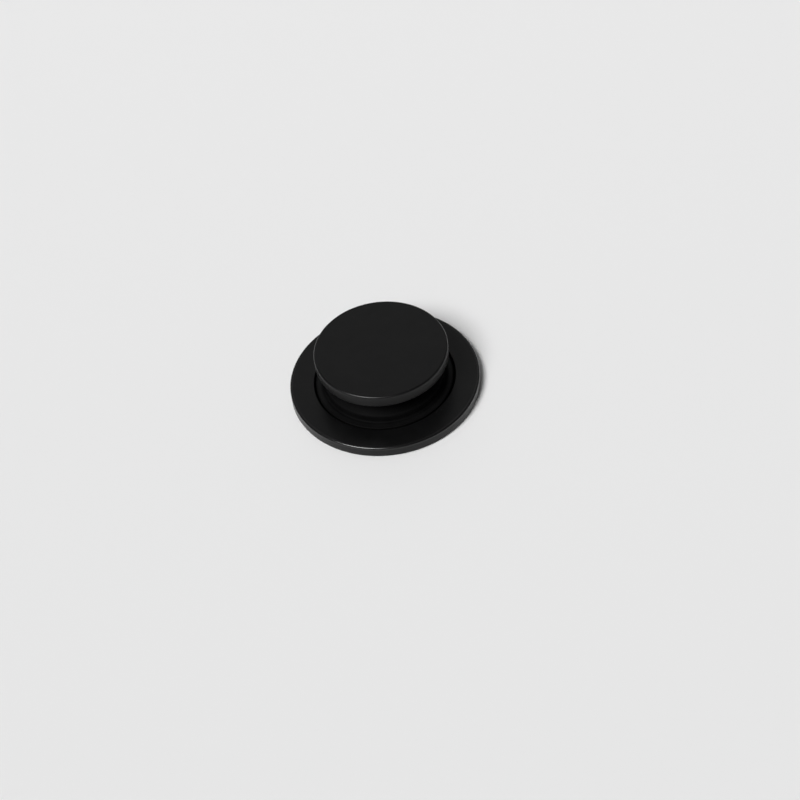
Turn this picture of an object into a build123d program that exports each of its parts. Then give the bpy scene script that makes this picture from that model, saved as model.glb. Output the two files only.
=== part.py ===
from build123d import *
from math import degrees
import os

# A collapsible phone grip, standing expanded. Millimetres, with +Z up along the axis of the grip
# and the origin at the centre of the pad's underside.

# Cap: roof, hanging skirt, and the hub that locks into the neck
cap_diameter = 40.4
cap_roof = 1.35
cap_skirt = 2.5
cap_wall = 1.2
cap_edge_radius = 0.6
cap_lip_break = 0.3

# Well in the base, a little wider than the cap, which the accordion fills up to a narrow groove
well_gap = 1.3
well_edge_break = 0.3

# Base housing
bore_wall = 1.8
ledge_width = 0.5
skirt_wall = 1.2
flange_thickness = 0.9
base_edge_radius = 0.6
base_foot_break = 0.25

# Magnet ring and the steel ring over it
magnet_count = 18
magnet_width = 3.7
magnet_thickness = 1.1
magnet_spacing = 0.3
magnet_fit = 0.15
shield_thickness = 0.4

# Cover plate and soft pad under the base
plate_thickness = 0.7
plate_fit = 0.1
pad_thickness = 0.5
pad_proud = 0.25
pad_fit = 0.3
pad_edge_break = 0.2

# Accordion: a collar level with the flange, which the cap lies on when folded, and upright rings that
# nest, joined by sloping webs that snap through
stage_count = 2
ring_height = 2.15
ring_wall = 1.2
ring_lean = 0.3
ring_pitch = 3.4
ring_edge_break = 0.3
web_rise = 2.1
hinge_notch = 0.3
nest_gap = 0.4
foot_thickness = 0.6
foot_grip = 1.0
foot_fit = 0.1
collar_edge_break = 0.2
groove_width = 0.5

# Neck ring and the turn lock of the hub, with angles in degrees
neck_flange = 0.4
neck_sleeve = 1.6
neck_wall = 1.4
neck_fit = 0.05
neck_rib = 0.5
neck_rib_height = 0.6
hub_wall = 1.2
hub_fit = 0.1
turn_gap = 0.05
lug_count = 2
lug_thickness = 0.5
lug_reach = 0.8
lug_fit = 0.1
slot_play = 4.0
stop_span = 36.0
stop_play = 2.0

# Radii, from the cap outwards
cap_radius = cap_diameter / 2
cap_inner = cap_radius - cap_wall
well_radius = cap_radius + well_gap
bore_outer = well_radius + bore_wall
magnet_inner = bore_outer + magnet_fit
magnet_outer = magnet_inner + magnet_width
channel_outer = magnet_outer + magnet_fit
skirt_inner = channel_outer + ledge_width
base_radius = skirt_inner + skirt_wall

# Radii, from the cap inwards
first_ring = cap_inner - nest_gap
last_ring = first_ring - stage_count * ring_pitch
neck_outer = last_ring - ring_lean
sleeve_radius = neck_outer - ring_wall - neck_fit
neck_bore = sleeve_radius - neck_wall
hub_radius = neck_bore - hub_fit
hub_inner = hub_radius - hub_wall
lug_radius = hub_radius + lug_reach

# Angles of the turn lock: a lug turns from its stop to its slot, half way to the next lug
lug_pitch = 360 / lug_count
release_turn = lug_pitch / 2
lug_span = release_turn - stop_span - 2 * stop_play

# Heights, from the pad upwards
plate_bottom = pad_thickness
plate_top = plate_bottom + plate_thickness
shield_bottom = plate_top + magnet_thickness
shield_top = shield_bottom + shield_thickness
base_top = shield_top + flange_thickness
foot_top = plate_top + foot_thickness
stage_rise = ring_height + web_rise
neck_top = base_top + stage_count * stage_rise + ring_height
neck_flange_top = neck_top + neck_flange
sleeve_bottom = neck_top - neck_sleeve
neck_rib_top = sleeve_bottom + neck_rib_height
roof_bottom = neck_flange_top + turn_gap
cap_top = roof_bottom + cap_roof
rim_bottom = roof_bottom - cap_skirt
lug_top = sleeve_bottom - lug_fit
hub_bottom = lug_top - lug_thickness


def outline(points, rounds=(), breaks=()):
    """Face of (radius, height) points, with the named corners rounded or broken."""
    face = make_face(Polyline(*points, close=True))
    for corner, radius in rounds:
        face = fillet(face.vertices().sort_by_distance(corner)[0], radius)
    for corner, length in breaks:
        face = chamfer(face.vertices().sort_by_distance(corner)[0], length)
    return face


def lathe(face):
    """Solid of revolution of an outline about the Z axis."""
    return revolve(Plane.XZ * face, Axis.Z)


def section(inner, outer, bottom, top):
    """Square section of a ring."""
    return outline([(inner, bottom), (outer, bottom), (outer, top), (inner, top)])


def sector(inner, outer, bottom, top, span, middle):
    """Piece of a square-section ring that spans an angle about its middle direction."""
    piece = revolve(Plane.XZ * section(inner, outer, bottom, top), Axis.Z, span)
    return Rot(0, 0, middle - span / 2) * piece


def base_housing():
    """Flange, outer skirt and bore wall, with a magnet channel and a rebate for the foot below."""
    flange_edge = (base_radius, base_top)
    well_edge = (well_radius, base_top)
    skirt_edge = (base_radius, pad_proud)
    rebate = well_radius + foot_grip + foot_fit
    points = [
        (well_radius, foot_top),
        well_edge,
        flange_edge,
        skirt_edge,
        (skirt_inner, pad_proud),
        (skirt_inner, plate_top),
        (channel_outer, plate_top),
        (channel_outer, shield_top),
        (bore_outer, shield_top),
        (bore_outer, plate_top),
        (rebate, plate_top),
        (rebate, foot_top),
    ]
    rounds = [(flange_edge, base_edge_radius)]
    breaks = [(well_edge, well_edge_break), (skirt_edge, base_foot_break)]
    return lathe(outline(points, rounds, breaks))


def magnet(index):
    pitch = 360 / magnet_count
    span = pitch - degrees(magnet_spacing / magnet_inner)
    return sector(magnet_inner, magnet_outer, plate_top, shield_bottom, span, index * pitch)


def shield_ring():
    return lathe(section(magnet_inner, magnet_outer, shield_bottom, shield_top))


def base_plate():
    return Pos(0, 0, plate_bottom) * extrude(Circle(skirt_inner - plate_fit), plate_thickness)


def contact_pad():
    edge = (skirt_inner - pad_fit, 0)
    points = [(0, 0), edge, (skirt_inner - pad_fit, pad_thickness), (0, pad_thickness)]
    return lathe(outline(points, breaks=[(edge, pad_edge_break)]))


def accordion():
    """One soft moulding: clamped foot, collar for the cap to lie on, nesting rings and webs."""
    foot_radius = well_radius + foot_grip
    collar_radius = well_radius - groove_width
    collar_edge = (collar_radius, base_top)
    outside = [(foot_radius, plate_top), (foot_radius, foot_top), (collar_radius, foot_top), collar_edge]
    inside = []
    breaks = [(collar_edge, collar_edge_break)]
    hinges = []
    for stage in range(stage_count + 1):
        radius = first_ring - stage * ring_pitch
        low = base_top + stage * stage_rise
        high = low + ring_height
        shoulder = (radius - ring_lean, high)
        outside += [(radius, low), shoulder]
        inside += [(radius - ring_wall, low if stage else plate_top), (shoulder[0] - ring_wall, high)]
        if stage:
            hinges.append((radius, low))
        if stage < stage_count:
            hinges.append((shoulder[0] - ring_wall, high))
            breaks.append((shoulder, ring_edge_break))
    face = outline(outside + inside[::-1], breaks=breaks)
    for corner in hinges:
        face -= Pos(*corner) * RegularPolygon(hinge_notch, 4)
    rib_room = sleeve_radius + neck_rib + neck_fit
    face -= section(neck_bore, rib_room, sleeve_bottom - neck_fit, neck_rib_top + neck_fit)
    return lathe(face)


def neck_ring():
    """Flanged ring held by a rib in the neck, slotted for the hub's lugs, with stops for their turn."""
    points = [
        (neck_bore, sleeve_bottom),
        (sleeve_radius + neck_rib, sleeve_bottom),
        (sleeve_radius, neck_rib_top),
        (sleeve_radius, neck_top),
        (neck_outer, neck_top),
        (neck_outer, neck_flange_top),
        (neck_bore, neck_flange_top),
    ]
    ring = lathe(outline(points))
    slot_outer = lug_radius + lug_fit
    slot_span = lug_span + slot_play
    for lug in range(lug_count):
        slot_middle = lug * lug_pitch + release_turn
        stop_middle = slot_middle + release_turn / 2
        ring -= sector(hub_radius, slot_outer, sleeve_bottom, neck_flange_top, slot_span, slot_middle)
        ring += sector(neck_bore, sleeve_radius, hub_bottom, sleeve_bottom, stop_span, stop_middle)
    return ring


def top_cap():
    """Roof, skirt and hub in one moulding, with lugs at the foot of the hub."""
    roof_edge = (cap_radius, cap_top)
    lip_edge = (cap_radius, rim_bottom)
    points = [
        (0, roof_bottom),
        (hub_inner, roof_bottom),
        (hub_inner, hub_bottom),
        (hub_radius, hub_bottom),
        (hub_radius, roof_bottom),
        (cap_inner, roof_bottom),
        (cap_inner, rim_bottom),
        lip_edge,
        roof_edge,
        (0, cap_top),
    ]
    rounds = [(roof_edge, cap_edge_radius)]
    breaks = [(lip_edge, cap_lip_break)]
    cap = lathe(outline(points, rounds, breaks))
    for lug in range(lug_count):
        cap += sector(hub_inner, lug_radius, hub_bottom, lug_top, lug_span, lug * lug_pitch)
    return cap


pieces = {
    "base_housing": base_housing(),
    "shield_ring": shield_ring(),
    "base_plate": base_plate(),
    "contact_pad": contact_pad(),
    "accordion": accordion(),
    "neck_ring": neck_ring(),
    "top_cap": top_cap(),
}
for index in range(magnet_count):
    pieces[f"magnet_{index + 1:02d}"] = magnet(index)

os.makedirs("parts", exist_ok=True)
for name, shape in pieces.items():
    export_step(shape, f"parts/{name}.step")
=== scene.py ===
import math

import bmesh
import bpy
from bpy.props import FloatProperty, FloatVectorProperty, IntProperty, PointerProperty
from bpy.types import Operator, Panel, PropertyGroup
from mathutils import Matrix, Vector


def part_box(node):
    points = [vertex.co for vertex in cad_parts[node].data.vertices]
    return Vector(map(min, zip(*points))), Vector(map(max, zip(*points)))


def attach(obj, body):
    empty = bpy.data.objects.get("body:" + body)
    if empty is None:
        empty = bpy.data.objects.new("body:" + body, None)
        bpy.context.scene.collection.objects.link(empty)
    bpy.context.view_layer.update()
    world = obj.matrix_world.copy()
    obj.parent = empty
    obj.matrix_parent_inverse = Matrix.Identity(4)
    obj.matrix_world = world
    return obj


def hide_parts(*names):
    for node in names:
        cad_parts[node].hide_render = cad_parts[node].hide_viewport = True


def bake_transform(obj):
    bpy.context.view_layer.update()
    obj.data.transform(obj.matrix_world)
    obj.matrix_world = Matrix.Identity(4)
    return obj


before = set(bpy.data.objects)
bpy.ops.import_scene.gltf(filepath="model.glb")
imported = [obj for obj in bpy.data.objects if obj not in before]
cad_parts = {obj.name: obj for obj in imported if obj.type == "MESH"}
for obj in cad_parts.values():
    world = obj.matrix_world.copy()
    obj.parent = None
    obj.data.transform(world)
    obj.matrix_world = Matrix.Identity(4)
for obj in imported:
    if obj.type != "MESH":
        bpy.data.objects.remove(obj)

bl_info = {
    "name": "Collapsible phone grip",
    "version": (1, 0, 0),
    "blender": (4, 5, 0),
    "location": "View3D > Sidebar > Grip",
    "description": "Turned pieces and moulded finishes for the frame of a collapsible phone grip",
    "category": "Add Mesh",
}

MM = 0.001
AXIS = (0, 0, 1)


def length(name, description, millimetres):
    """Property for a length, given in millimetres and kept in metres."""
    return FloatProperty(
        name=name, description=description, default=millimetres * MM, unit="LENGTH", precision=5
    )


def angle(name, description, degrees):
    """Property for an angle, given in degrees and kept in radians."""
    return FloatProperty(
        name=name, description=description, default=math.radians(degrees), unit="ROTATION"
    )


def share(name, description, value):
    """Property for a number from 0 to 1."""
    return FloatProperty(
        name=name, description=description, default=value, min=0, max=1, subtype="FACTOR"
    )


def colour(name, description, value):
    """Property for a colour, in linear values."""
    return FloatVectorProperty(
        name=name, description=description, default=value, size=3, min=0, max=1, subtype="COLOR"
    )


class CapSizes(PropertyGroup):
    roof: length("Roof", "Thickness of the cap's top wall", 1.35)
    skirt: length("Skirt", "How far the skirt hangs under the roof", 2.5)
    wall: length("Wall", "Thickness of the skirt", 1.2)
    edge: length("Edge", "Radius of the roof's outer edge", 0.6)
    lip: length("Lip", "Radius of the skirt's lower edge", 0.3)
    inner_corner: length("Inner corner", "Radius where the roof meets the skirt and the hub", 0.25)
    hub_radius: length("Hub radius", "Outer radius of the hub under the roof", 8.75)
    hub_wall: length("Hub wall", "Thickness of the hub", 1.2)
    lug_reach: length("Lug reach", "How far a lug stands out of the hub", 0.8)
    lug_thickness: length("Lug thickness", "Height of a lug", 0.5)
    lug_span: angle("Lug span", "Angle that a lug covers", 50)
    lug_count: IntProperty(name="Lugs", description="Number of lugs on the hub", default=2, min=1)


class BaseSizes(PropertyGroup):
    edge: length("Edge", "Radius of the flange's outer edge", 0.6)
    well_edge: length("Well edge", "Radius of the flange's inner edge", 0.3)
    foot_edge: length("Foot edge", "Radius of the skirt's lower edge", 0.25)
    bore_wall: length("Bore wall", "Wall between the well and the magnets", 1.8)
    ledge: length("Ledge", "Shoulder that the cover plate seats on", 0.5)
    plate_fit: length("Plate fit", "Gap round the cover plate", 0.1)
    foot_grip: length("Foot grip", "How far the accordion's foot reaches under the bore wall", 1.0)
    foot_fit: length("Foot fit", "Gap round the accordion's foot", 0.1)
    foot_thickness: length("Foot thickness", "Thickness of the clamped foot", 0.6)
    pad_edge: length("Pad edge", "Radius of the pad's lower edge", 0.2)


class AccordionSizes(PropertyGroup):
    stages: IntProperty(name="Stages", description="Number of webs", default=2, min=1)
    ring_height: length("Ring height", "Height of an upright ring", 2.15)
    ring_wall: length("Ring wall", "Thickness of a ring", 1.2)
    ring_lean: length("Ring lean", "How far a ring leans in over its height", 0.3)
    ring_pitch: length("Ring pitch", "Radial step from one ring to the next", 3.4)
    shoulder: length("Shoulder", "Radius of a ring's upper edge", 0.3)
    heel: length("Heel", "Radius of the inner bends", 0.25)
    notch: length("Notch", "Half width of a hinge notch", 0.3)
    notch_depth: length("Notch depth", "Depth of a hinge notch", 0.22)
    notch_bottom: length("Notch bottom", "Radius at the bottom of a hinge notch", 0.12)
    root: length("Root", "Radius where the first ring rises out of the collar", 0.5)
    collar_edge: length("Collar edge", "Radius of the collar's outer edge", 0.2)
    groove: length("Groove", "Width of the groove between the collar and the well", 0.5)
    rib_room: length("Rib room", "Radius of the groove that holds the neck ring's rib", 10.8)
    rib_top: length("Rib top", "From the top of the neck down to that groove", 0.95)
    rib_bottom: length("Rib bottom", "From the top of the neck down to the groove's floor", 1.65)


class Finish(PropertyGroup):
    shell: colour("Shell", "Black of the cap and the base", (0.0032, 0.0032, 0.0033))
    shell_mottle: colour("Shell mottle", "Lighter mottle of the shell", (0.0042, 0.0042, 0.0043))
    rubber: colour("Rubber", "Black of the accordion", (0.0028, 0.0028, 0.0029))
    rubber_bloom: colour("Rubber bloom", "Greyer black of bloomed rubber", (0.0040, 0.0040, 0.0041))
    fold_mark: colour("Fold mark", "Grey of the rubber where it bends", (0.0044, 0.0044, 0.0045))
    pad: colour("Pad", "Black of the contact pad", (0.0160, 0.0160, 0.0164))
    pad_grain: colour("Pad grain", "Lighter black on the pad's grain", (0.0260, 0.0260, 0.0266))
    inner: colour("Inner parts", "Black of the neck ring and the cover plate", (0.0140, 0.0140, 0.0144))
    inner_flow: colour("Flow marks", "Greyer black of the flow marks", (0.0210, 0.0210, 0.0216))
    nickel: colour("Nickel", "Plating of the magnets", (0.62, 0.60, 0.57))
    nickel_dull: colour("Dull nickel", "Dull patches of the plating", (0.50, 0.48, 0.45))
    steel: colour("Steel", "Rolled steel ring", (0.56, 0.56, 0.57))
    steel_streak: colour("Steel streak", "Dark streaks of the rolling", (0.42, 0.42, 0.43))
    dust: colour("Dust", "Colour of settled dust", (0.20, 0.20, 0.20))
    dust_amount: share("Dust amount", "How much dust shows on faces that look up", 0.25)


class Stage(PropertyGroup):
    floor: colour("Floor", "Colour of the floor", (0.88, 0.88, 0.88))
    floor_radius: length("Floor radius", "Radius of the floor", 4000)
    floor_drop: length("Floor drop", "Gap between the pad and the floor", 0.02)
    key_turn: angle("Key turn", "Azimuth of the key light, from the camera's side to the right", -45)
    key_rise: angle("Key rise", "Elevation of the key light", 52)
    key_spread: angle("Key spread", "How wide the key light looks from the grip", 30)
    key_strength: FloatProperty(
        name="Key strength", description="Light of the key on a face turned to it", default=3.1
    )
    panel_power: FloatProperty(
        name="Panel power", description="Power of the panel behind the grip", default=1.5, unit="POWER"
    )
    panel_size: length("Panel size", "Side of the panel", 1200)
    panel_distance: length("Panel distance", "From the grip to the panel", 1200)
    panel_rise: angle("Panel rise", "Elevation of the panel", 46.6)
    lens: FloatProperty(
        name="Lens", description="Focal length in millimetres", default=76.6, unit="CAMERA"
    )
    roll: angle("Roll", "Turn of the camera about its own line of sight", -7.955)
    camera: FloatVectorProperty(
        name="Camera", description="Place of the camera", default=(0, -357.16 * MM, 377.72 * MM),
        size=3, subtype="TRANSLATION", unit="LENGTH",
    )
    aim: FloatVectorProperty(
        name="Aim", description="Point on the floor in the middle of the picture",
        default=(3.56 * MM, -7.21 * MM, 0), size=3, subtype="TRANSLATION", unit="LENGTH",
    )


# Mesh tools

TURN_STEPS = 144
ROUND_STEPS = 6
SHARP_ANGLE = math.radians(35)
WELD = 1e-7


def turn_profile(profile, closed):
    """Bmesh of a profile of (radius, height, corner radius) points, turned about the Z axis."""
    bm = bmesh.new()
    line = [bm.verts.new((radius, 0, height)) for radius, height, _ in profile]
    pairs = list(zip(line, line[1:]))
    if closed:
        pairs.append((line[-1], line[0]))
    for pair in pairs:
        bm.edges.new(pair)
    for vert, (_, _, corner) in zip(line, profile):
        if corner:
            bmesh.ops.bevel(
                bm, geom=[vert], offset=corner, segments=ROUND_STEPS, profile=0.5,
                affect="VERTICES", material=-1,
            )
    bmesh.ops.spin(
        bm, geom=bm.verts[:] + bm.edges[:], cent=(0, 0, 0), axis=AXIS, angle=math.tau,
        steps=TURN_STEPS, use_merge=True,
    )
    bmesh.ops.remove_doubles(bm, verts=bm.verts, dist=WELD)
    return bm


def make_piece(name, bm, material):
    """Object of a finished bmesh, smooth between its sharp edges."""
    bmesh.ops.recalc_face_normals(bm, faces=bm.faces)
    mesh = bpy.data.meshes.new(name)
    bm.to_mesh(mesh)
    bm.free()
    mesh.polygons.foreach_set("use_smooth", [True] * len(mesh.polygons))
    mesh.set_sharp_from_angle(angle=SHARP_ANGLE)
    mesh.materials.append(material)
    piece = bpy.data.objects.new(name, mesh)
    bpy.context.scene.collection.objects.link(piece)
    weighted = piece.modifiers.new("Flat faces stay flat", "WEIGHTED_NORMAL")
    weighted.keep_sharp = True
    return piece


def seat(piece, node, body):
    """Lets a piece stand for a node of the frame, on its body."""
    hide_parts(node)
    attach(piece, body)


# Shader tools


def add_node(tree, kind, **values):
    """Node of a tree, with values for its sockets or its settings."""
    made = tree.nodes.new(kind)
    for name, value in values.items():
        label = name.replace("_", " ").title()
        if label in made.inputs:
            made.inputs[label].default_value = value
        else:
            setattr(made, name, value)
    return made


def new_group(name, inputs, outputs):
    """Empty shader node group with named sockets, and its two end nodes."""
    group = bpy.data.node_groups.new(name, "ShaderNodeTree")
    for label, kind, value in inputs:
        socket = group.interface.new_socket(label, in_out="INPUT", socket_type=kind)
        if value is not None:
            socket.default_value = value
    for label, kind in outputs:
        group.interface.new_socket(label, in_out="OUTPUT", socket_type=kind)
    return group, group.nodes.new("NodeGroupInput"), group.nodes.new("NodeGroupOutput")


def shared(make):
    """Builds a node group the first time that a material asks for it."""

    def fetch():
        return bpy.data.node_groups.get(make.__name__) or make()

    return fetch


def plug(tree, value, socket):
    """Feeds a socket from an output, or sets it to a plain value."""
    if hasattr(value, "is_output"):
        tree.links.new(value, socket)
    else:
        socket.default_value = value


def remap(tree, value, start=0.0, stop=1.0, low=0.0, high=1.0):
    """Value output that carries start to stop over to low to high, and stops there."""
    ramp = add_node(tree, "ShaderNodeMapRange")
    tree.links.new(value, ramp.inputs["Value"])
    for label, number in (("From Min", start), ("From Max", stop), ("To Min", low), ("To Max", high)):
        ramp.inputs[label].default_value = number
    return ramp.outputs["Result"]


def combine(tree, operation, *values):
    """Value output of a sum on outputs or plain numbers."""
    sum_node = add_node(tree, "ShaderNodeMath", operation=operation)
    for socket, value in zip(sum_node.inputs, values):
        plug(tree, value, socket)
    return sum_node.outputs["Value"]


def texture(tree, kind, vector, scale, **values):
    """Texture node on coordinates, with its scale as a number or an output."""
    made = add_node(tree, kind, **values)
    tree.links.new(vector, made.inputs["Vector"])
    plug(tree, scale, made.inputs["Scale"])
    return made


VECTOR = "NodeSocketVector"
NUMBER = "NodeSocketFloat"


@shared
def moulded_grain():
    """Fine eroded grain of a mould in a height, and a broad mottle."""
    group, start, end = new_group(
        "moulded_grain",
        [("Vector", VECTOR, None), ("Grain Scale", NUMBER, 5000.0), ("Mottle Scale", NUMBER, 160.0)],
        [("Height", NUMBER), ("Mottle", NUMBER)],
    )
    vector = start.outputs["Vector"]
    grain = start.outputs["Grain Scale"]
    pits = texture(group, "ShaderNodeTexVoronoi", vector, grain, feature="SMOOTH_F1", smoothness=0.7)
    sand = texture(group, "ShaderNodeTexNoise", vector, grain, detail=3.0, roughness=0.6)
    broad = texture(
        group, "ShaderNodeTexNoise", vector, start.outputs["Mottle Scale"], detail=5.0, roughness=0.6
    )
    height = combine(group, "ADD", pits.outputs["Distance"], sand.outputs["Fac"])
    group.links.new(height, end.inputs["Height"])
    mottle = remap(group, broad.outputs["Fac"], start=0.36, stop=0.66)
    group.links.new(mottle, end.inputs["Mottle"])
    return group


@shared
def settled_dust():
    """Dust on faces that look up: rare specks and a thin uneven film."""
    group, start, end = new_group(
        "settled_dust",
        [
            ("Vector", VECTOR, None),
            ("Amount", NUMBER, 0.25),
            ("Speck Scale", NUMBER, 1100.0),
            ("Bare Share", NUMBER, 0.93),
            ("Film Scale", NUMBER, 300.0),
        ],
        [("Mask", NUMBER)],
    )
    vector = start.outputs["Vector"]
    specks = texture(group, "ShaderNodeTexVoronoi", vector, start.outputs["Speck Scale"])
    chance = add_node(group, "ShaderNodeSeparateColor")
    group.links.new(specks.outputs["Color"], chance.inputs["Color"])
    rare = combine(group, "GREATER_THAN", chance.outputs["Red"], start.outputs["Bare Share"])
    round_dots = remap(group, specks.outputs["Distance"], start=0.10, stop=0.05)
    dots = combine(group, "MULTIPLY", round_dots, rare)
    film = texture(
        group, "ShaderNodeTexNoise", vector, start.outputs["Film Scale"], detail=6.0, roughness=0.65
    )
    thin = remap(group, film.outputs["Fac"], start=0.45, stop=0.80, high=0.02)
    geometry = add_node(group, "ShaderNodeNewGeometry")
    facing = add_node(group, "ShaderNodeSeparateXYZ")
    group.links.new(geometry.outputs["Normal"], facing.inputs["Vector"])
    upward = remap(group, facing.outputs["Z"], start=0.55, stop=0.95)
    settled = combine(group, "MULTIPLY", combine(group, "MAXIMUM", dots, thin), upward)
    group.links.new(combine(group, "MULTIPLY", settled, start.outputs["Amount"]), end.inputs["Mask"])
    return group


@shared
def ring_mark():
    """Mask round a circle about the axis, for a handled edge, a fold or a rubbed face."""
    group, start, end = new_group(
        "ring_mark",
        [
            ("Vector", VECTOR, None),
            ("Radius", NUMBER, 20 * MM),
            ("Height", NUMBER, 0.0),
            ("Reach", NUMBER, 1 * MM),
        ],
        [("Mask", NUMBER)],
    )
    parts = add_node(group, "ShaderNodeSeparateXYZ")
    group.links.new(start.outputs["Vector"], parts.inputs["Vector"])
    east = combine(group, "MULTIPLY", parts.outputs["X"], parts.outputs["X"])
    north = combine(group, "MULTIPLY", parts.outputs["Y"], parts.outputs["Y"])
    radius = combine(group, "SQRT", combine(group, "ADD", east, north))
    out = combine(group, "SUBTRACT", radius, start.outputs["Radius"])
    up = combine(group, "SUBTRACT", parts.outputs["Z"], start.outputs["Height"])
    across = combine(group, "MULTIPLY", out, out)
    along = combine(group, "MULTIPLY", up, up)
    distance = combine(group, "SQRT", combine(group, "ADD", across, along))
    far = combine(group, "DIVIDE", distance, start.outputs["Reach"])
    group.links.new(remap(group, far, start=1.0, stop=0.3), end.inputs["Mask"])
    return group


def new_material(name):
    """Material with its node tree and its Principled shader at hand."""
    material = bpy.data.materials.new(name)
    material.use_nodes = True
    tree = material.node_tree
    return material, tree, tree.nodes["Principled BSDF"]


def object_place(tree):
    """Vector output of the object's own coordinates."""
    return add_node(tree, "ShaderNodeTexCoord").outputs["Object"]


def place_group(tree, group, vector, **values):
    """Node group placed in a material, fed with coordinates and its own values."""
    placed = add_node(tree, "ShaderNodeGroup", node_tree=group, **values)
    tree.links.new(vector, placed.inputs["Vector"])
    return placed


def mix(tree, kind, factor, first, second):
    """Output that goes from the first Color or Float to the second."""
    mixed = add_node(tree, "ShaderNodeMix", data_type="RGBA" if kind == "Color" else "FLOAT")
    tree.links.new(factor, mixed.inputs["Factor"])
    sockets = {socket.identifier: socket for socket in (*mixed.inputs, *mixed.outputs)}
    plug(tree, first, sockets[f"A_{kind}"])
    plug(tree, second, sockets[f"B_{kind}"])
    return sockets[f"Result_{kind}"]


def mix_colours(tree, factor, first, second):
    """Colour output that goes from a colour or an output to a colour."""
    start = first if hasattr(first, "is_output") else (*first, 1)
    return mix(tree, "Color", factor, start, (*second, 1))


def add_bump(tree, shader, height, strength, depth):
    """Bump from a height, at a depth in metres."""
    bump = add_node(tree, "ShaderNodeBump", strength=strength, distance=depth)
    tree.links.new(height, bump.inputs["Height"])
    tree.links.new(bump.outputs["Normal"], shader.inputs["Normal"])


def feed(tree, shader, tone, rough):
    """Gives the shader its colour and its roughness."""
    tree.links.new(tone, shader.inputs["Base Color"])
    tree.links.new(rough, shader.inputs["Roughness"])


def shell_material(name, edge_radius, edge_height, polish, shine):
    """Satin black moulding, dusty on top and handled smooth along one edge."""
    finish = bpy.context.scene.grip_finish
    material, tree, shader = new_material(name)
    vector = object_place(tree)
    grain = place_group(tree, moulded_grain(), vector)
    dust = place_group(tree, settled_dust(), vector, amount=finish.dust_amount)
    edge = place_group(
        tree, ring_mark(), vector, radius=edge_radius, height=edge_height, reach=1.0 * MM
    )
    tone = mix_colours(tree, grain.outputs["Mottle"], finish.shell, finish.shell_mottle)
    tone = mix_colours(tree, dust.outputs["Mask"], tone, finish.dust)
    rough = remap(tree, grain.outputs["Mottle"], low=0.28, high=0.33)
    feed(tree, shader, tone, mix(tree, "Float", edge.outputs["Mask"], rough, polish))
    coat = combine(tree, "MULTIPLY", edge.outputs["Mask"], shine)
    tree.links.new(coat, shader.inputs["Coat Weight"])
    shader.inputs["Coat Roughness"].default_value = polish
    shader.inputs["Specular IOR Level"].default_value = 0.25
    worn = remap(tree, edge.outputs["Mask"], low=1.0, high=0.2)
    height = combine(tree, "MULTIPLY", grain.outputs["Height"], worn)
    add_bump(tree, shader, height, strength=0.35, depth=0.02 * MM)
    return material


def rubber_material(folds, landing, shine):
    """Soft matt black rubber, greyer along its folds and rubbed smooth where the cap lands."""
    finish = bpy.context.scene.grip_finish
    material, tree, shader = new_material("accordion_soft_black")
    vector = object_place(tree)
    grain = place_group(tree, moulded_grain(), vector, grain_scale=7000.0, mottle_scale=220.0)
    tone = mix_colours(tree, grain.outputs["Mottle"], finish.rubber, finish.rubber_bloom)
    for radius, height in folds:
        fold = place_group(tree, ring_mark(), vector, radius=radius, height=height, reach=0.7 * MM)
        tone = mix_colours(tree, fold.outputs["Mask"], tone, finish.fold_mark)
    feed(tree, shader, tone, remap(tree, grain.outputs["Mottle"], low=0.50, high=0.62))
    radius, height = landing
    rubbed = place_group(tree, ring_mark(), vector, radius=radius, height=height, reach=0.95 * MM)
    coat = combine(tree, "MULTIPLY", rubbed.outputs["Mask"], shine)
    tree.links.new(coat, shader.inputs["Coat Weight"])
    shader.inputs["Coat Roughness"].default_value = 0.45
    shader.inputs["Specular IOR Level"].default_value = 0.02
    add_bump(tree, shader, grain.outputs["Height"], strength=0.3, depth=0.015 * MM)
    return material


def plain_material(name, dark, light, rough, scale, depth):
    """Black moulding with grain and mottle only."""
    material, tree, shader = new_material(name)
    grain = place_group(tree, moulded_grain(), object_place(tree), grain_scale=scale)
    tone = mix_colours(tree, grain.outputs["Mottle"], dark, light)
    feed(tree, shader, tone, remap(tree, grain.outputs["Mottle"], low=rough[0], high=rough[1]))
    add_bump(tree, shader, grain.outputs["Height"], strength=0.5, depth=depth)
    return material


def metal_material(name, bright, dull, stretch, rough):
    """Bare metal with patches or streaks, stretched along the axes."""
    material, tree, shader = new_material(name)
    mapping = add_node(tree, "ShaderNodeMapping", scale=stretch)
    tree.links.new(object_place(tree), mapping.inputs["Vector"])
    vector = mapping.outputs["Vector"]
    metal = place_group(tree, moulded_grain(), vector, grain_scale=3000.0, mottle_scale=500.0)
    tone = mix_colours(tree, metal.outputs["Mottle"], bright, dull)
    feed(tree, shader, tone, remap(tree, metal.outputs["Mottle"], low=rough[0], high=rough[1]))
    shader.inputs["Metallic"].default_value = 1
    add_bump(tree, shader, metal.outputs["Height"], strength=0.15, depth=0.01 * MM)
    return material


# Pieces


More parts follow.
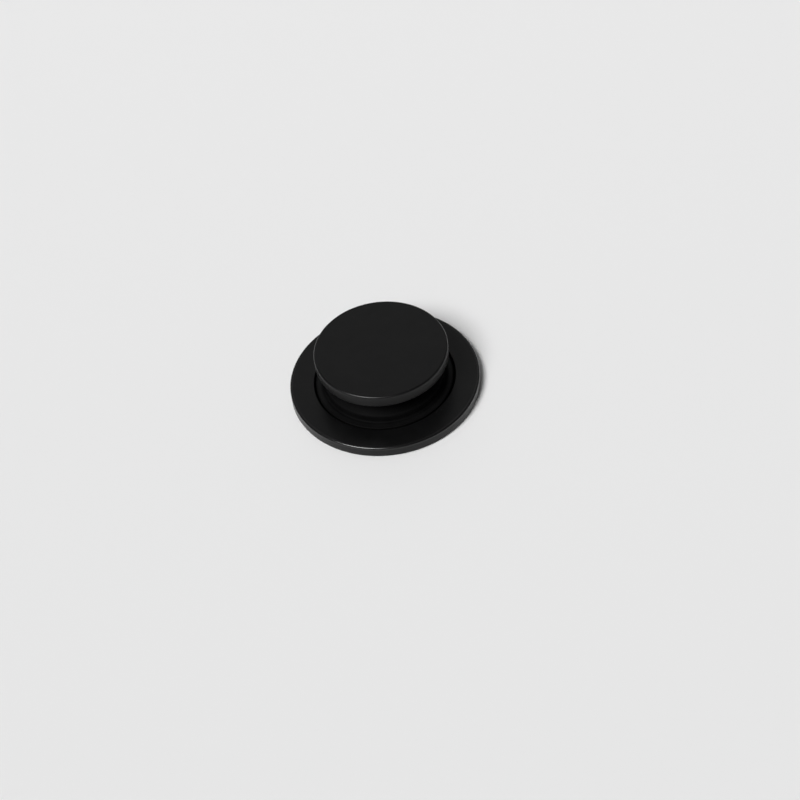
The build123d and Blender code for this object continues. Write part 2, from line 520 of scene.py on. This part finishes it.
def draw_lugs(bm, sizes, lug_bottom):
    """Draws the lugs out of the foot of the hub."""
    middle = lug_bottom + sizes.lug_thickness / 2
    pitch = math.tau / sizes.lug_count
    faces = []
    for face in bm.faces:
        centre = face.calc_center_median()
        turn = math.atan2(centre.y, centre.x)
        off = abs((turn + pitch / 2) % pitch - pitch / 2)
        on_hub = abs(centre.xy.length - sizes.hub_radius) < sizes.hub_wall / 4
        at_foot = abs(centre.z - middle) < sizes.lug_thickness / 4
        if on_hub and at_foot and off < sizes.lug_span / 2:
            faces.append(face)
    drawn = bmesh.ops.extrude_face_region(bm, geom=faces)
    verts = [item for item in drawn["geom"] if isinstance(item, bmesh.types.BMVert)]
    grow = 1 + sizes.lug_reach / sizes.hub_radius
    bmesh.ops.scale(bm, vec=(grow, grow, 1), verts=verts)
    bmesh.ops.delete(bm, geom=[face for face in faces if face.is_valid], context="FACES")


class GRIP_OT_top_cap(Operator):
    """Turns the cap with its skirt and hub, and draws out the lugs"""

    bl_idname = "grip.top_cap"
    bl_label = "Top cap"

    def execute(self, context):
        sizes = context.scene.grip_cap
        low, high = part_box("top_cap")
        roof_bottom = high.z - sizes.roof
        rim = roof_bottom - sizes.skirt
        inside = high.x - sizes.wall
        hub_inner = sizes.hub_radius - sizes.hub_wall
        profile = [
            (0, roof_bottom, 0),
            (hub_inner, roof_bottom, sizes.inner_corner),
            (hub_inner, low.z, 0),
            (sizes.hub_radius, low.z, 0),
            (sizes.hub_radius, low.z + sizes.lug_thickness, 0),
            (sizes.hub_radius, roof_bottom, 0),
            (inside, roof_bottom, sizes.inner_corner),
            (inside, rim, sizes.lip),
            (high.x, rim, sizes.lip),
            (high.x, high.z, sizes.edge),
            (0, high.z, 0),
        ]
        bm = turn_profile(profile, closed=False)
        draw_lugs(bm, sizes, low.z)
        finish = shell_material("cap_satin_black", high.x, high.z, polish=0.30, shine=0.05)
        piece = make_piece("cap", bm, finish)
        seat(piece, "top_cap", "cap")
        return {"FINISHED"}


class GRIP_OT_base_housing(Operator):
    """Turns the flange with its skirt, bore wall and magnet channel"""

    bl_idname = "grip.base_housing"
    bl_label = "Base housing"

    def execute(self, context):
        sizes = context.scene.grip_base
        low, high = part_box("base_housing")
        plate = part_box("base_plate")[1]
        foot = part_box("accordion")[1].x
        shield_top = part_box("shield_ring")[1].z
        foot_top = plate.z + sizes.foot_thickness
        well = foot - sizes.foot_grip
        rebate = foot + sizes.foot_fit
        bore_outer = well + sizes.bore_wall
        skirt_inner = plate.x + sizes.plate_fit
        channel_outer = skirt_inner - sizes.ledge
        profile = [
            (well, foot_top, 0),
            (well, high.z, sizes.well_edge),
            (high.x, high.z, sizes.edge),
            (high.x, low.z, sizes.foot_edge),
            (skirt_inner, low.z, sizes.foot_edge / 2),
            (skirt_inner, plate.z, 0),
            (channel_outer, plate.z, 0),
            (channel_outer, shield_top, 0),
            (bore_outer, shield_top, 0),
            (bore_outer, plate.z, 0),
            (rebate, plate.z, 0),
            (rebate, foot_top, 0),
        ]
        finish = shell_material("base_satin_black", high.x, high.z, polish=0.22, shine=0.6)
        piece = make_piece("housing", turn_profile(profile, closed=True), finish)
        seat(piece, "base_housing", "base")
        return {"FINISHED"}


def notched(before, corner, after, sizes):
    """Three profile points that cut a hinge notch into the bend at a corner."""
    here = Vector(corner)
    back = (Vector(before) - here).normalized()
    on = (Vector(after) - here).normalized()
    into = -(back + on).normalized()
    first = here + back * sizes.notch
    bottom = here + into * sizes.notch_depth
    last = here + on * sizes.notch
    return [(*first, 0), (*bottom, sizes.notch_bottom), (*last, 0)]


def ring_corners(sizes, start, stop):
    """Outer corners of the upright rings, two to a ring, from one height up to another."""
    last_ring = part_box("neck_ring")[1].x + sizes.ring_lean
    rise = (stop - start - sizes.ring_height) / sizes.stages
    corners = []
    for stage in range(sizes.stages + 1):
        radius = last_ring + (sizes.stages - stage) * sizes.ring_pitch
        heel = start + stage * rise
        corners += [(radius, heel), (radius - sizes.ring_lean, heel + sizes.ring_height)]
    return corners


def bends(corners, radius, sizes):
    """Profile points of the corners between the first and the last, rounded and notched in turn."""
    points = []
    for index in range(1, len(corners) - 1):
        if index % 2:
            points.append((*corners[index], radius))
        else:
            points += notched(*corners[index - 1:index + 2], sizes)
    return points


def rib_groove(corner, sizes):
    """Profile points of the groove for the neck ring's rib, under the neck's inner corner."""
    radius, top = corner
    lean = sizes.ring_lean / sizes.ring_height
    return [
        (radius + lean * sizes.rib_top, top - sizes.rib_top, 0),
        (sizes.rib_room, top - sizes.rib_top, 0),
        (sizes.rib_room, top - sizes.rib_bottom, 0),
        (radius + lean * sizes.rib_bottom, top - sizes.rib_bottom, 0),
    ]


class GRIP_OT_accordion(Operator):
    """Turns the folding neck: clamped foot, collar for the cap, upright rings and sloping webs"""

    bl_idname = "grip.accordion"
    bl_label = "Accordion"

    def execute(self, context):
        sizes = context.scene.grip_accordion
        base = context.scene.grip_base
        low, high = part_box("accordion")
        foot_top = low.z + base.foot_thickness
        collar = high.x - base.foot_grip - sizes.groove
        collar_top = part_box("base_housing")[1].z
        outside = ring_corners(sizes, collar_top, high.z)
        inside = [(radius - sizes.ring_wall, height) for radius, height in outside]
        inside[0] = (inside[0][0], low.z)
        profile = [
            (high.x, low.z, 0),
            (high.x, foot_top, 0),
            (collar, foot_top, 0),
            (collar, collar_top, sizes.collar_edge),
            (*outside[0], sizes.root),
            *bends(outside, sizes.shoulder, sizes),
            (*outside[-1], 0),
            (*inside[-1], 0),
            *rib_groove(inside[-1], sizes),
            *bends(inside[::-1], sizes.heel, sizes),
            (*inside[0], 0),
        ]
        landing = ((outside[0][0] + sizes.root + collar) / 2, collar_top)
        finish = rubber_material(outside[1:-1], landing, shine=0.32)
        piece = make_piece("bellows", turn_profile(profile, closed=True), finish)
        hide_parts("accordion")
        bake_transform(piece)
        return {"FINISHED"}


class GRIP_OT_contact_pad(Operator):
    """Turns the soft pad under the base"""

    bl_idname = "grip.contact_pad"
    bl_label = "Contact pad"

    def execute(self, context):
        sizes = context.scene.grip_base
        low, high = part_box("contact_pad")
        profile = [
            (0, low.z, 0),
            (high.x, low.z, sizes.pad_edge),
            (high.x, high.z, 0),
            (0, high.z, 0),
        ]
        finish = context.scene.grip_finish
        material = plain_material(
            "pad_soft_black", finish.pad, finish.pad_grain,
            rough=(0.62, 0.74), scale=2200.0, depth=0.06 * MM,
        )
        piece = make_piece("pad", turn_profile(profile, closed=False), material)
        seat(piece, "contact_pad", "base")
        return {"FINISHED"}


class GRIP_OT_inner_pieces(Operator):
    """Finishes the pieces inside: neck ring, cover plate, magnets and their steel ring"""

    bl_idname = "grip.inner_pieces"
    bl_label = "Inner pieces"

    def execute(self, context):
        finish = context.scene.grip_finish
        inner = plain_material(
            "inner_moulded_black", finish.inner, finish.inner_flow,
            rough=(0.40, 0.50), scale=5000.0, depth=0.02 * MM,
        )
        nickel = metal_material(
            "nickel_plate", finish.nickel, finish.nickel_dull, stretch=(1, 1, 1), rough=(0.20, 0.34)
        )
        steel = metal_material(
            "rolled_steel", finish.steel, finish.steel_streak, stretch=(1, 12, 1), rough=(0.28, 0.42)
        )
        finishes = {"neck_ring": inner, "base_plate": inner, "shield_ring": steel}
        finishes.update({node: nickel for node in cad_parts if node.startswith("magnet_")})
        for node, material in finishes.items():
            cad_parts[node].material_slots[0].material = material
        return {"FINISHED"}


# Stage

FLOOR_STEPS = 96

# Grey of the surround, by the upward share of the direction looked in
SURROUND = ((0.0, 0.76), (0.08, 0.45), (0.2, 0.12), (0.5, 0.07), (1.0, 0.05))


def floor_material(tone):
    """Plain matt floor."""
    material, _, shader = new_material("studio_floor")
    shader.inputs["Base Color"].default_value = (*tone, 1)
    shader.inputs["Roughness"].default_value = 0.9
    shader.inputs["Specular IOR Level"].default_value = 0.2
    return material


def add_floor(stage):
    """Round floor, a hair under the pad."""
    bm = bmesh.new()
    bmesh.ops.create_circle(bm, cap_ends=True, segments=FLOOR_STEPS, radius=stage.floor_radius)
    bmesh.ops.translate(bm, vec=(0, 0, -stage.floor_drop), verts=bm.verts)
    mesh = bpy.data.meshes.new("floor")
    bm.to_mesh(mesh)
    bm.free()
    mesh.materials.append(floor_material(stage.floor))
    floor = bpy.data.objects.new("floor", mesh)
    bpy.context.scene.collection.objects.link(floor)


def toward(turn, rise):
    """Direction from the grip, with the turn counted from the camera's side to the right."""
    return Vector((math.sin(turn) * math.cos(rise), -math.cos(turn) * math.cos(rise), math.sin(rise)))


def add_lamp(name, light, away, distance=1):
    """Lamp that faces the grip from a direction, unseen by the camera."""
    lamp = bpy.data.objects.new(name, light)
    lamp.location = away * distance
    lamp.rotation_euler = (-away).to_track_quat("-Z", "Y").to_euler()
    lamp.visible_camera = False
    bpy.context.scene.collection.objects.link(lamp)


def add_key(stage):
    """Even key light as wide as a softbox, which lights the floor all over."""
    light = bpy.data.lights.new("key_light", "SUN")
    light.angle = stage.key_spread
    light.energy = stage.key_strength
    add_lamp("key_light", light, toward(stage.key_turn, stage.key_rise))


def add_panel(stage):
    """Large dim panel behind the grip, for the sheen on the faces that look up."""
    light = bpy.data.lights.new("back_panel", "AREA")
    light.size = stage.panel_size
    light.energy = stage.panel_power
    add_lamp("back_panel", light, toward(math.pi, stage.panel_rise), stage.panel_distance)


def light_world():
    """Studio surround, bright near the floor and dim above it."""
    world = bpy.data.worlds.new("studio_surround")
    world.use_nodes = True
    tree = world.node_tree
    place = add_node(tree, "ShaderNodeTexCoord")
    parts = add_node(tree, "ShaderNodeSeparateXYZ")
    ramp = add_node(tree, "ShaderNodeValToRGB")
    tree.links.new(place.outputs["Generated"], parts.inputs["Vector"])
    tree.links.new(parts.outputs["Z"], ramp.inputs["Fac"])
    tree.links.new(ramp.outputs["Color"], tree.nodes["Background"].inputs["Color"])
    stops = ramp.color_ramp.elements
    while len(stops) < len(SURROUND):
        stops.new(1.0)
    for stop, (height, grey) in zip(stops, SURROUND):
        stop.position = height
        stop.color = (grey, grey, grey, 1)
    bpy.context.scene.world = world


def add_camera(stage):
    """Camera at a place, aimed at a point and turned about its line of sight."""
    place, aim = Vector(stage.camera), Vector(stage.aim)
    ahead = (aim - place).normalized()
    level = ahead.cross(Vector(AXIS)).normalized()
    right = Matrix.Rotation(-stage.roll, 3, ahead) @ level
    turned = Matrix((right, right.cross(ahead), -ahead)).transposed()
    camera = bpy.data.cameras.new("camera")
    camera.lens = stage.lens
    camera.sensor_width = 36
    camera.clip_start = 0.01
    shot = bpy.data.objects.new("camera", camera)
    shot.matrix_world = Matrix.Translation(place) @ turned.to_4x4()
    bpy.context.scene.collection.objects.link(shot)
    bpy.context.scene.camera = shot


class GRIP_OT_stage(Operator):
    """Sets the floor, the studio light and the camera"""

    bl_idname = "grip.stage"
    bl_label = "Stage"

    def execute(self, context):
        stage = context.scene.grip_stage
        context.scene.view_settings.view_transform = "Standard"
        add_floor(stage)
        light_world()
        add_key(stage)
        add_panel(stage)
        add_camera(stage)
        return {"FINISHED"}


class GRIP_PT_sidebar(Panel):
    """Lists the operators and the settings"""

    bl_label = "Collapsible phone grip"
    bl_idname = "GRIP_PT_sidebar"
    bl_space_type = "VIEW_3D"
    bl_region_type = "UI"
    bl_category = "Grip"

    def draw(self, context):
        layout = self.layout
        for operator in OPERATORS:
            layout.operator(operator.bl_idname)
        for setting in SETTINGS:
            box = layout.box()
            group = getattr(context.scene, setting)
            for name in group.bl_rna.properties.keys():
                if name not in {"rna_type", "name"}:
                    box.prop(group, name)


OPERATORS = (
    GRIP_OT_top_cap,
    GRIP_OT_base_housing,
    GRIP_OT_accordion,
    GRIP_OT_contact_pad,
    GRIP_OT_inner_pieces,
    GRIP_OT_stage,
)
SETTINGS = {
    "grip_cap": CapSizes,
    "grip_base": BaseSizes,
    "grip_accordion": AccordionSizes,
    "grip_finish": Finish,
    "grip_stage": Stage,
}


def register():
    for settings in SETTINGS.values():
        bpy.utils.register_class(settings)
    for name, settings in SETTINGS.items():
        setattr(bpy.types.Scene, name, PointerProperty(type=settings))
    for operator in OPERATORS:
        bpy.utils.register_class(operator)
    bpy.utils.register_class(GRIP_PT_sidebar)


def unregister():
    bpy.utils.unregister_class(GRIP_PT_sidebar)
    for operator in reversed(OPERATORS):
        bpy.utils.unregister_class(operator)
    for name in SETTINGS:
        delattr(bpy.types.Scene, name)
    for settings in reversed(SETTINGS.values()):
        bpy.utils.unregister_class(settings)


def main():
    register()
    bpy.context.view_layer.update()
    bpy.ops.grip.top_cap()
    bpy.ops.grip.base_housing()
    bpy.ops.grip.accordion()
    bpy.ops.grip.contact_pad()
    bpy.ops.grip.inner_pieces()
    bpy.ops.grip.stage()


if __name__ == "__main__":
    main()
